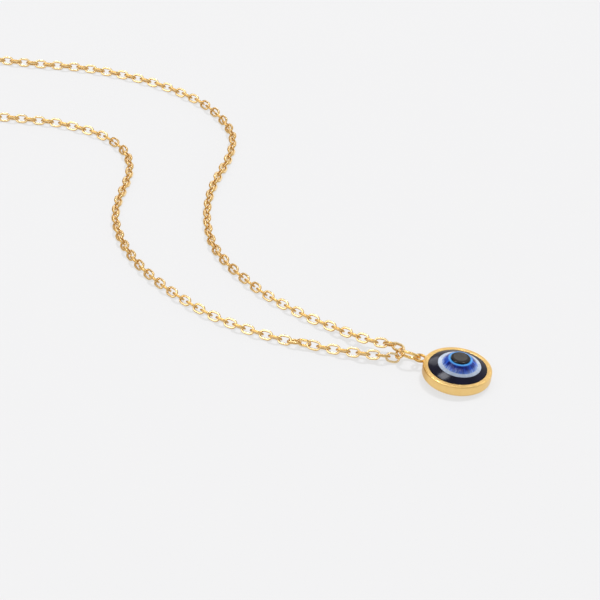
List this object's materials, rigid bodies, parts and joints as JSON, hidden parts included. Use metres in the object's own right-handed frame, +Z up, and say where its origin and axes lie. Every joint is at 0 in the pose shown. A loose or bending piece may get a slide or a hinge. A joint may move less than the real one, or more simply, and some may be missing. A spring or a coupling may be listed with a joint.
{
  "type": "evil eye pendant necklace",
  "caption": "Round gold-set evil eye pendant with a dark glassy dome and raised pupil, hung by a jump ring from a fine oval cable chain laid out in a closed loop.",
  "frame": {"origin": "middle of the necklace's plan extents, on the surface it lies on", "axes": "+X from the clasp towards the pendant, along the longest side of the laid-out loop; +Z up, out of the surface"},
  "size_m": [0.1554, 0.1122, 0.0045],
  "materials": {
    "setting_gold": "polished gold",
    "ring_gold": "polished gold",
    "chain_gold": "polished gold",
    "eye_dark_glass": "glossy, near black",
    "eye_white_glass": "glossy, opaque white",
    "eye_blue_glass": "glossy, deep blue",
    "eye_light_glass": "glossy, light blue",
    "pupil_glass": "glossy, black"
  },
  "bodies": {
    "root": {"setting": "setting_gold", "eye_dark": "eye_dark_glass", "eye_white": "eye_white_glass", "eye_blue": "eye_blue_glass", "eye_light": "eye_light_glass", "pupil": "pupil_glass", "jump_ring": "ring_gold", "chain_far": "chain_gold", "chain_near": "chain_gold", "end_ring": "ring_gold", "clasp": "ring_gold"}
  },
  "joints": []
}
